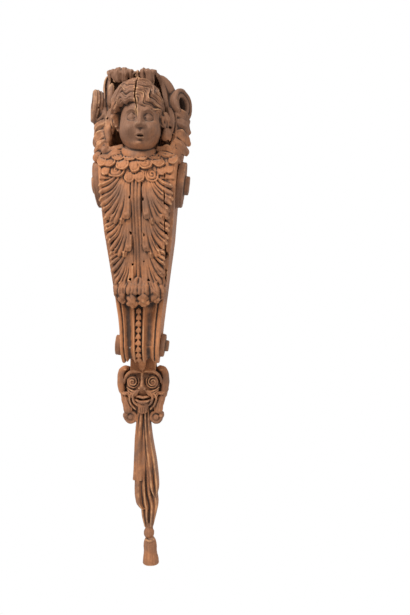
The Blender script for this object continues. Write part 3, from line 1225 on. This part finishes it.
# The turned roundels: the side and the scroll that each sits on, the radius and the boss's radius, how thick
# the disc is and how far the boss rises from it, in millimetres, and how much the axis leans from level.
ROUNDELS = {
    "upper_left": dict(side=-1, scroll=UPPER_SCROLL, radius=45, boss=17, thick=14, rise=7, lean=0.09),
    "upper_right": dict(side=1, scroll=UPPER_SCROLL, radius=45.5, boss=19, thick=14, rise=9, lean=0.13),
    "lower_left": dict(side=-1, scroll=LOWER_SCROLL, radius=20.5, boss=9, thick=12, rise=0.8, lean=-0.06),
    "lower_right": dict(side=1, scroll=LOWER_SCROLL, radius=23.5, boss=11.5, thick=10, rise=7, lean=0.13),
}


def turning(disc):
    """A turned disc with a bead round its edge, a shallow hollow and a boss: a profile spun about an axis
    that leans out of the side board. Its radius wavers a little round it, as old wood shrinks."""
    side, scroll = disc["side"], disc["scroll"]
    radius, boss, thick, high = (disc[key] for key in ("radius", "boss", "thick", "rise"))
    start = (side * (float(half_width(scroll["height"])) + SEAM), scroll["depth"], scroll["height"])
    profile = [
        (0.1, 0), (radius - 0.8, 0), (radius, 0.8), (radius, thick * 0.55), (radius - 0.9, thick * 0.62),
        (radius - 0.9, thick * 0.7), (radius - 0.2, thick * 0.78), (radius - 0.8, thick - 1),
        (radius - 3, thick), (radius * 0.82, thick - 0.6), (radius * 0.76, thick - 2.4),
        (boss + 4, thick - 2.6), (boss + 2, thick - 0.8), (boss + 0.6, thick - 0.6), (boss, thick + 0.3),
        (boss - 0.2, thick + high - 1.4), (boss - 1.6, thick + high), (0.1, thick + high - 0.2),
    ]

    def wobble(angle, reach):
        return 1 - 0.012 + 0.010 * np.cos(2 * angle + 1) + 0.004 * np.cos(7 * angle + 0.3 * reach)
    return spun(profile, start, (side, 0, -disc["lean"]), 120, wobble)


# The pieces

# How far the boxes of the pieces reach to the front, the height where the side leaves begin, and the depth
# where the head's box meets the hood's.
FRONT = 205.0
LEAFY = 43.0
HEAD_BACK = 92.0
BOARD_EDGE = CORE_HALF + SEAM / 2
BOARDS = {
    "core_board": (-BOARD_EDGE, BOARD_EDGE),
    "left_side_board": (-104, -BOARD_EDGE),
    "right_side_board": (BOARD_EDGE, 104),
}
# Each piece of the carving: its board, the size of its cells against the setting, and its foot and top.
PIECES = {
    "head_and_hair": ("core_board", 0.95, LEAFY, TOP),
    "hood": ("core_board", 1.2, LEAFY, TOP),
    "collar": ("core_board", 1.0, -28, LEAFY),
    "upper_leaves": ("core_board", 1.0, -118, -28),
    "lower_leaves": ("core_board", 1.0, -200, -118),
    "leaf_tip_and_foot": ("core_board", 1.05, -358, -200),
    "mask": ("core_board", 0.9, -482, -358),
    "cloth_and_tassel": ("core_board", 1.0, -767.5, -482),
    "left_leaf": ("left_side_board", 1.1, LEAFY, TOP),
    "left_cheek": ("left_side_board", 1.2, -215, LEAFY),
    "right_leaf": ("right_side_board", 1.1, LEAFY, TOP),
    "right_cheek": ("right_side_board", 1.2, -215, LEAFY),
}


def carved_piece(name, cell):
    """The shells, cuts, cell size and box of a piece of the carving. The head and the hood share the core
    board's top, one in front of the other."""
    board, fineness, low, high = PIECES[name]
    left, right = BOARDS[board]
    front = -HEAD_BACK if name == "hood" else -FRONT
    back = -HEAD_BACK if name == "head_and_hair" else 0.0
    return {
        "voxel": cell * fineness,
        "shells": [shell for form in FORMS for shell in shells_of(form)],
        "cuts": [shell for form in CUTS for shell in shells_of(form)]
        + [scroll_seat(disc) for disc in ROUNDELS.values()],
        "low": (left, front, low),
        "high": (right, back, high),
    }


# Room left round a roundel in its box, in millimetres.
ROOM = 3


def turned_piece(name, cell):
    """The one shell, the cell size and the box of a roundel."""
    shell = turning(ROUNDELS[name])
    low, high = shell[0].min(0) - ROOM, shell[0].max(0) + ROOM
    return {"voxel": cell, "shells": [shell], "cuts": [], "low": low, "high": high}


def signed_volume(points, faces):
    """The volume inside a closed skin: the sum over its triangles of a . (b x c) / 6, which is less than
    nothing where the triangles face inwards."""
    a, b, c = (points[faces[:, corner]] for corner in range(3))
    return np.einsum("ij,ij->i", a, np.cross(b, c)).sum() / 6


def in_mouths(points):
    """1 inside the volutes' mouths and 0 outside, from the distance to each axis and the place along it."""
    inside = 0
    for volute in VOLUTES:
        axis = unit(place(*volute_axis(volute)))
        away = points - place(*volute["start"])
        reach = away @ axis
        aside = np.linalg.norm(away - reach[:, None] * axis, axis=1)
        inside = inside + (1 - ease(aside, 13.5, 16.5)) * (1 - ease(reach, -6, 1)) * ease(reach, -50, -46)
    return inside


def wear(points, normal, fine, broad, wide):
    """The marks that the wood's finish reads, at each point: hollow and edge from the share of wood about it,
    dust where a hollow faces upwards, and warmth, the board's change of colour from the grey crest to the
    orange foot. The mouths and the foot of the leaf are darker, and the crack's edges, the left volute and
    the cloth paler."""
    x, depth, z = points[:, 0], -points[:, 1], points[:, 2]
    hollow = 0.65 * ease(fine, 0.5, 0.66) + 0.6 * ease(0.5 * broad + 0.5 * wide, 0.46, 0.7)
    edge = ease(0.5 - 0.6 * fine - 0.4 * broad, 0.03, 0.24)
    face_skin = bell(x, HEAD["across"], 33) * bell(z, HEAD["height"] - 8, 44) * ease(depth, 128, 150)
    crest_grey = ease(z, 60, 190) * (1 - 0.75 * bell(x, 0, 40) * ease(depth, 120, 150))
    foot_orange = ease(-z, 200, 260) * (1 - ease(-z, 350, 380))
    warmth = 0.5 + 0.5 * foot_orange + 0.3 * bell(z, 15, 30) - 0.5 * crest_grey - 0.55 * face_skin
    hollow = hollow + 0.9 * in_mouths(points)
    beside = bell(x, along([(height, across) for across, height, _ in SPLIT], z), 3.0)
    crack = beside * ease(z, 98, 112) * (1 - ease(z, 150, 168)) * ease(depth, 150, 162)
    tip_dirt = 0.34 * bell(z, -218, 20)
    foot_dirt = 0.2 * ease(-z, 240, 260) * (1 - ease(-z, 345, 360))
    stalk_rubbed = 0.4 * bell(x, AXIS, 9) * ease(-z, 5, 30) * (1 - ease(-z, 170, 200))
    cloth_rubbed = 0.2 * ease(-z, 480, 520)
    hollow = hollow * (1 - 0.5 * crack) + tip_dirt + foot_dirt - stalk_rubbed - cloth_rubbed
    pale = 0.35 * ease(-x, 48, 66) * ease(z, 40, 70) + 0.25 * ease(-z, 480, 560)
    edge = edge * (1 - 0.6 * face_skin) + 1.1 * crack + pale
    return {
        "hollow": hollow,
        "edge": edge,
        "dust": ease(normal[:, 2], -0.1, 0.9) * (0.3 + 0.7 * ease(broad, 0.42, 0.6)),
        "warmth": np.clip(warmth, 0, 1),
    }


def dress(name, piece, nodes, slot):
    """Carves a piece, works its skin, makes its mesh with the marks of wear, and fastens it to the frame."""
    sizes = bpy.context.scene.bracket_sizes
    points, normal, faces, shares = carve(piece)
    points = worked(points, normal, sizes.gouge_depth / MM, sizes.grain_depth / MM)
    points = np.clip(points, CAD_LOW, CAD_HIGH)
    if signed_volume(points, faces) < 0:
        faces = faces[:, ::-1]
    mesh = bpy.data.meshes.new(name)
    mesh.from_pydata(points * MM, [], faces)
    mesh.shade_smooth()
    for mark, values in wear(points, normal, *shares).items():
        mesh.attributes.new(mark, "FLOAT", "POINT").data.foreach_set("value", values.astype(np.float32))
    obj = bpy.data.objects.new(name, mesh)
    bpy.context.scene.collection.objects.link(obj)
    mesh.materials.append(wood_finish(slot))
    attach(obj, "root")
    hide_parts(*nodes)


# The finish

class Socket:
    """A node's output that can be reckoned with. Numbers add a Math node, and node() adds any other."""

    def __init__(self, tree, output):
        self.tree, self.output = tree, output

    def node(self, kind, inputs=None, output=0, **settings):
        """Adds a node of any kind, sets its settings and feeds its inputs, and gives one of its outputs."""
        made = self.tree.nodes.new(kind)
        for name, value in settings.items():
            setattr(made, name, value)
        for key, value in (inputs or {}).items():
            if isinstance(value, Socket):
                self.tree.links.new(value.output, made.inputs[key])
            else:
                made.inputs[key].default_value = value
        return Socket(self.tree, made.outputs[output])

    def reckon(self, operation, first, second):
        """A Math node on two numbers or sockets."""
        return self.node("ShaderNodeMath", {0: first, 1: second}, operation=operation)

    def __add__(self, other):
        return self.reckon("ADD", self, other)

    def __sub__(self, other):
        return self.reckon("SUBTRACT", self, other)

    def __rsub__(self, other):
        return self.reckon("SUBTRACT", other, self)

    def __mul__(self, other):
        return self.reckon("MULTIPLY", self, other)

    __radd__ = __add__
    __rmul__ = __mul__

    def between(self, low, high):
        """0 at low, 1 at high, with an eased rise between."""
        limits = {"Value": self, "From Min": low, "From Max": high}
        return self.node("ShaderNodeMapRange", limits, interpolation_type="SMOOTHSTEP")

    def mix(self, first, second, blend="MIX"):
        """This number blends one colour into another."""
        inputs = {0: self, 6: first, 7: second}
        return self.node("ShaderNodeMix", inputs, 2, data_type="RGBA", blend_type=blend)


def speckle(where, stretch, size, detail=3.0, rough=0.55):
    """A cloudy pattern from 0 to 1 on the object's own coordinates, with cells of the given size in
    millimetres, stretched along the grain."""
    vector = where.node("ShaderNodeVectorMath", {0: where, 1: stretch}, operation="MULTIPLY")
    inputs = {"Vector": vector, "Scale": 1.0 / MM / size, "Detail": detail, "Roughness": rough}
    return where.node("ShaderNodeTexNoise", inputs)


# How a pattern is stretched: alike every way, or long up the grain.
EVEN = (1.0, 1.0, 1.0)
ALONG_GRAIN = (1.0, 1.0, 0.07)
# Two specks of white paint: their places and the radii between which they end, in metres.
SPECKS = [(0.0485, -0.117, -0.146), (-0.0195, -0.096, -0.318)]
SPECK_EDGE = (0.0012, 0.002)
PAINT = (0.8, 0.78, 0.74, 1)
# The share of the warmth that the greyer turned wood keeps.
TURNED_WARMTH = 0.45


@functools.cache
def wood_finish(slot):
    """Old wood, greyer on the turned pieces. Its colour goes from mauve brown to orange with the warmth and a
    cloudy pattern, and is streaked along the grain. Hollows hold dark dirt, upward hollows grey dust, and
    edges are rubbed to paler wood. Two specks of white paint are left on it."""
    colours = bpy.context.scene.bracket_colours
    material = bpy.data.materials.new(slot)
    material.use_nodes = True
    tree = material.node_tree
    shader = tree.nodes["Principled BSDF"]
    start = Socket(tree, None)
    where = start.node("ShaderNodeTexCoord", output="Object")

    def attribute(name):
        return start.node("ShaderNodeAttribute", output="Fac", attribute_name=name)

    hollow, edge, dust, warmth = (attribute(name) for name in ("hollow", "edge", "dust", "warmth"))
    clouds = speckle(where, EVEN, 34)
    blots = speckle(where, EVEN, 9, 4, 0.65)
    streaks = speckle(where, ALONG_GRAIN, 3.2, 4, 0.6)
    pores = speckle(where, ALONG_GRAIN, 0.9, 2)
    grit = speckle(where, EVEN, 1.1, 2)

    warmth = warmth * (TURNED_WARMTH if slot == "turned_wood" else 1.0)
    warm = (warmth + (clouds - 0.5) * 1.5 + (blots - 0.5) * 0.6).between(0.1, 0.95)
    wood = warm.mix(tuple(colours.cool), tuple(colours.warm))
    wood = (streaks.between(0.35, 0.7) * 0.45).mix(wood, tuple(colours.streak), "MULTIPLY")
    wood = (pores.between(0.5, 0.75) * 0.3).mix(wood, tuple(colours.dirt))
    bare = edge * 0.8 + (blots - 0.5) * 1.6 + (clouds - 0.5) * 1.2 + (grit - 0.5) * 0.5
    wood = (bare.between(0.3, 1.15) * 0.6).mix(wood, tuple(colours.bare))
    grey = (dust + (clouds - 0.5) * 1.6 + (blots - 0.5) * 1.2).between(0.35, 1.1) * 0.7
    wood = grey.mix(wood, tuple(colours.dust))
    dirt = (hollow * 1.2 + (blots - 0.5) * 0.7 + (clouds - 0.5) * 0.4).between(0.1, 0.9)
    wood = dirt.mix(wood, tuple(colours.dirt))
    for speck in SPECKS:
        away = where.node("ShaderNodeVectorMath", {0: where, 1: speck}, "Value", operation="DISTANCE")
        wood = (1.0 - away.between(*SPECK_EDGE)).mix(wood, PAINT)
    tree.links.new(wood.output, shader.inputs["Base Color"])

    rough = 0.62 + 0.25 * dust + 0.12 * grit - 0.12 * edge
    tree.links.new(rough.output, shader.inputs["Roughness"])
    height = streaks * 0.35 + pores * 0.4 + grit * 0.3
    bump = height.node("ShaderNodeBump", {"Height": height, "Strength": 0.5, "Distance": 0.0007})
    tree.links.new(bump.output, shader.inputs["Normal"])
    shader.inputs["Specular IOR Level"].default_value = 0.35
    return material


def floor_finish(colour):
    """A plain pale floor."""
    material = bpy.data.materials.new("pale_floor")
    material.use_nodes = True
    shader = material.node_tree.nodes["Principled BSDF"]
    shader.inputs["Base Color"].default_value = tuple(colour)
    shader.inputs["Roughness"].default_value = 0.9
    return material


# The settings, the operators and the panel

class BracketSizes(bpy.types.PropertyGroup):
    """Sizes of the carving's finish."""

    cell: bpy.props.FloatProperty(
        name="Cell", description="Size of the cells that the carving is welded on", default=0.00087,
        min=0.0004, precision=5, subtype="DISTANCE", unit="LENGTH")
    gouge_depth: bpy.props.FloatProperty(
        name="Gouge Marks", description="Depth of the gouge's marks", default=0.0002, min=0.0,
        precision=5, subtype="DISTANCE", unit="LENGTH")
    grain_depth: bpy.props.FloatProperty(
        name="Grain", description="Depth of the weathered grain", default=0.00016, min=0.0,
        precision=5, subtype="DISTANCE", unit="LENGTH")


def colour_property(name, description, default):
    """A colour that the user may change."""
    return bpy.props.FloatVectorProperty(
        name=name, description=description, default=default, size=4, min=0.0, max=1.0, subtype="COLOR")


class BracketColours(bpy.types.PropertyGroup):
    """Colours of the old wood."""

    warm: colour_property("Warm Wood", "Orange wood of the foot and the leaves", (0.43, 0.17, 0.066, 1))
    cool: colour_property("Cool Wood", "Mauve brown wood of the face and the crest", (0.205, 0.1, 0.056, 1))
    streak: colour_property("Streaks", "Shade of the dark streaks along the grain", (0.6, 0.5, 0.44, 1))
    bare: colour_property("Bare Wood", "Paler wood on rubbed edges", (0.66, 0.37, 0.18, 1))
    dust: colour_property("Dust", "Grey dust on upward hollows", (0.3, 0.21, 0.15, 1))
    dirt: colour_property("Dirt", "Dark dirt in the hollows", (0.045, 0.022, 0.013, 1))


class BracketStage(bpy.types.PropertyGroup):
    """The floor, the lights and the camera."""

    floor_height: bpy.props.FloatProperty(
        name="Floor Height", description="Height of the floor, under the hanging tassel", default=-1.3,
        subtype="DISTANCE", unit="LENGTH")
    floor_colour: colour_property("Floor", "Colour of the floor", (0.95, 0.95, 0.95, 1))
    key_power: bpy.props.FloatProperty(
        name="Key Light", description="Power of the upper left light", default=38.0, unit="POWER")
    fill_power: bpy.props.FloatProperty(
        name="Fill Light", description="Power of the right light", default=4.0, unit="POWER")
    lens: bpy.props.FloatProperty(
        name="Lens", description="Focal length of the camera", default=36.5, unit="CAMERA")
    viewpoint: bpy.props.FloatVectorProperty(
        name="Camera Place", description="Place of the camera", default=(0.126, -1.3, -0.24), size=3,
        subtype="TRANSLATION", unit="LENGTH")


class CarvingOperator(bpy.types.Operator):
    """Carves pieces of a board."""

    bl_options = {"REGISTER", "UNDO"}
    names = ()

    def execute(self, context):
        cell = context.scene.bracket_sizes.cell / MM
        for name in self.names:
            dress(name, carved_piece(name, cell), [PIECES[name][0]], "carved_wood")
        return {"FINISHED"}


class BRACKET_OT_head(CarvingOperator):
    """Carve the child's head and its hair"""

    bl_idname = "bracket.head"
    bl_label = "Head and Hair"
    names = ("head_and_hair",)


class BRACKET_OT_hood(CarvingOperator):
    """Carve the hood behind the head"""

    bl_idname = "bracket.hood"
    bl_label = "Hood"
    names = ("hood",)


class BRACKET_OT_collar(CarvingOperator):
    """Carve the collar of scales"""

    bl_idname = "bracket.collar"
    bl_label = "Collar"
    names = ("collar",)


class BRACKET_OT_acanthus(CarvingOperator):
    """Carve the acanthus and the stalk"""

    bl_idname = "bracket.acanthus"
    bl_label = "Acanthus"
    names = ("upper_leaves", "lower_leaves")


class BRACKET_OT_foot(CarvingOperator):
    """Carve the overturned leaf tip, the moulded foot and its husks"""

    bl_idname = "bracket.foot"
    bl_label = "Leaf Tip and Foot"
    names = ("leaf_tip_and_foot",)


class BRACKET_OT_mask(CarvingOperator):
    """Carve the grotesque mask"""

    bl_idname = "bracket.mask"
    bl_label = "Mask"
    names = ("mask",)


class BRACKET_OT_cloth(CarvingOperator):
    """Carve the hanging cloth and its tassel"""

    bl_idname = "bracket.cloth"
    bl_label = "Cloth and Tassel"
    names = ("cloth_and_tassel",)


class BRACKET_OT_side_leaves(CarvingOperator):
    """Carve the volutes and the leaves that hang from them"""

    bl_idname = "bracket.side_leaves"
    bl_label = "Side Leaves"
    names = ("left_leaf", "right_leaf")


class BRACKET_OT_cheeks(CarvingOperator):
    """Carve the lower parts of the side boards"""

    bl_idname = "bracket.cheeks"
    bl_label = "Side Boards"
    names = ("left_cheek", "right_cheek")


class BRACKET_OT_roundels(bpy.types.Operator):
    """Turn the four roundels"""

    bl_idname = "bracket.roundels"
    bl_label = "Roundels"
    bl_options = {"REGISTER", "UNDO"}

    def execute(self, context):
        for name in ROUNDELS:
            piece = turned_piece(name, context.scene.bracket_sizes.cell / MM)
            dress(f"{name}_turning", piece, [f"{name}_roundel"], "turned_wood")
        return {"FINISHED"}


class BRACKET_OT_stage(bpy.types.Operator):
    """Lay the floor, hang the lights and place the camera"""

    bl_idname = "bracket.stage"
    bl_label = "Stage"
    bl_options = {"REGISTER", "UNDO"}

    def execute(self, context):
        scene = context.scene
        settings = scene.bracket_stage
        lay_floor(scene, settings)
        light_world(scene)
        hang_light(scene, "key", settings.key_power)
        hang_light(scene, "fill", settings.fill_power)
        camera = bpy.data.objects.new("camera", bpy.data.cameras.new("camera"))
        camera.data.lens = settings.lens
        camera.location = settings.viewpoint
        camera.rotation_euler = (math.pi / 2, 0, 0)
        scene.collection.objects.link(camera)
        scene.camera = camera
        scene.view_settings.view_transform = "Standard"
        return {"FINISHED"}


# The floor's radius and thickness, the place that the lights face, and each light's place and width, in
# metres, and how brightly the white world lights the bracket and is seen.
FLOOR_REACH = 0.84
FLOOR_THICK = 0.02
AIM = Vector((0, -0.08, -0.2))
LIGHTS = {"key": ((-0.9, -1.3, 1.1), 0.8), "fill": ((1.3, -1.2, 0.2), 1.2)}
WORLD_LIGHT = 0.8
WORLD_SEEN = 1.0


def lay_floor(scene, settings):
    """A round floor with a thickness: a disc of points above another."""
    angle = np.linspace(0, 2 * math.pi, 96, endpoint=False)
    ring = np.stack([np.cos(angle), np.sin(angle), 0 * angle], -1) * FLOOR_REACH
    heights = (settings.floor_height - FLOOR_THICK, settings.floor_height)
    points, faces = tube(np.stack([ring + (0, 0, height) for height in heights]))
    if signed_volume(points, faces) < 0:
        faces = faces[:, ::-1]
    mesh = bpy.data.meshes.new("floor")
    mesh.from_pydata(points, [], faces)
    mesh.materials.append(floor_finish(settings.floor_colour))
    floor = bpy.data.objects.new("floor", mesh)
    scene.collection.objects.link(floor)


def light_world(scene):
    """A white world that lights softly from all round, and that the camera sees as plain white."""
    world = bpy.data.worlds.new("white")
    world.use_nodes = True
    tree = world.node_tree
    backdrop = tree.nodes["Background"]
    backdrop.inputs["Color"].default_value = (1, 1, 1, 1)
    seen = Socket(tree, None).node("ShaderNodeLightPath", output="Is Camera Ray")
    strength = seen * (WORLD_SEEN - WORLD_LIGHT) + WORLD_LIGHT
    tree.links.new(strength.output, backdrop.inputs["Strength"])
    scene.world = world


def hang_light(scene, name, power):
    """A square soft light that faces the bracket."""
    light = bpy.data.lights.new(name, "AREA")
    light.energy = power
    lamp = bpy.data.objects.new(name, light)
    lamp.location, light.size = LIGHTS[name]
    lamp.rotation_euler = (AIM - lamp.location).to_track_quat("-Z", "Y").to_euler()
    scene.collection.objects.link(lamp)


MAKERS = (
    BRACKET_OT_head, BRACKET_OT_hood, BRACKET_OT_collar, BRACKET_OT_acanthus, BRACKET_OT_foot,
    BRACKET_OT_mask, BRACKET_OT_cloth, BRACKET_OT_side_leaves, BRACKET_OT_cheeks, BRACKET_OT_roundels,
    BRACKET_OT_stage,
)


class BRACKET_PT_panel(bpy.types.Panel):
    """Lists the steps that make the bracket"""

    bl_idname = "BRACKET_PT_panel"
    bl_label = "Bracket"
    bl_space_type = "VIEW_3D"
    bl_region_type = "UI"
    bl_category = "Bracket"

    def draw(self, context):
        column = self.layout.column()
        for group in (getattr(context.scene, name) for name in GROUPS):
            for name in group.__annotations__:
                column.prop(group, name)
        for maker in MAKERS:
            column.operator(maker.bl_idname)


GROUPS = {"bracket_sizes": BracketSizes, "bracket_colours": BracketColours, "bracket_stage": BracketStage}


def register():
    """Registers the settings, the steps and the panel, and hangs the settings on every scene."""
    for cls in (*GROUPS.values(), *MAKERS, BRACKET_PT_panel):
        bpy.utils.register_class(cls)
    for name, group in GROUPS.items():
        setattr(bpy.types.Scene, name, bpy.props.PointerProperty(type=group))


def unregister():
    """Takes away what register() added."""
    for name in GROUPS:
        delattr(bpy.types.Scene, name)
    for cls in reversed((*GROUPS.values(), *MAKERS, BRACKET_PT_panel)):
        bpy.utils.unregister_class(cls)


def main():
    """Makes the bracket and its stage."""
    register()
    for maker in MAKERS:
        group, name = maker.bl_idname.split(".")
        getattr(getattr(bpy.ops, group), name)()


if __name__ == "__main__":
    main()
